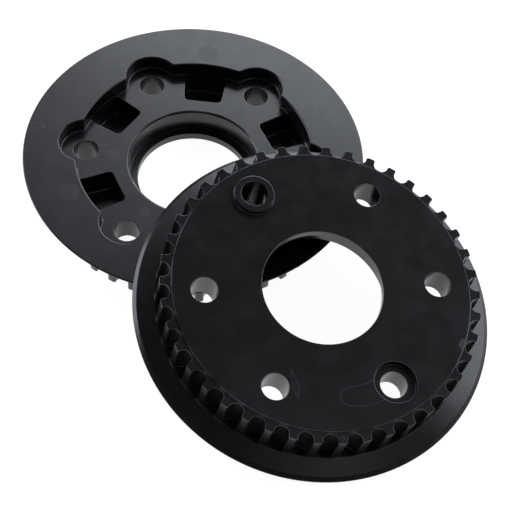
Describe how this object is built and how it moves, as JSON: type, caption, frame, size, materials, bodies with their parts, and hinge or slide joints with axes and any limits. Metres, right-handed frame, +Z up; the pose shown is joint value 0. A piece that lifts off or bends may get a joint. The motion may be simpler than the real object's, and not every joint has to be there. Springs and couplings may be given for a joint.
{
  "type": "timing belt pulley",
  "caption": "Flanged round-tooth timing belt pulley moulded in two matching halves, shown apart, with a lipped centre bore, bolt circle, locating boss and cored recess.",
  "frame": {"origin": "on the surface, under the middle of the pair of halves", "axes": "+Z up from the surface; +Y from the front half's side to the rear half's side; +X to the right, seen from the front half's side"},
  "size_m": [0.1, 0.1122, 0.0245],
  "materials": {
    "moulded_nylon": "black glass-filled nylon, injection moulded, satin with faint flow marks"
  },
  "bodies": {
    "rear": {"rear_half": "moulded_nylon"},
    "front": {"front_half": "moulded_nylon"}
  },
  "joints": [
    {"name": "front_lift", "type": "slide", "parent": "rear", "child": "front", "axis": [0, 0, 1], "range_m": [0, 0.03]}
  ]
}
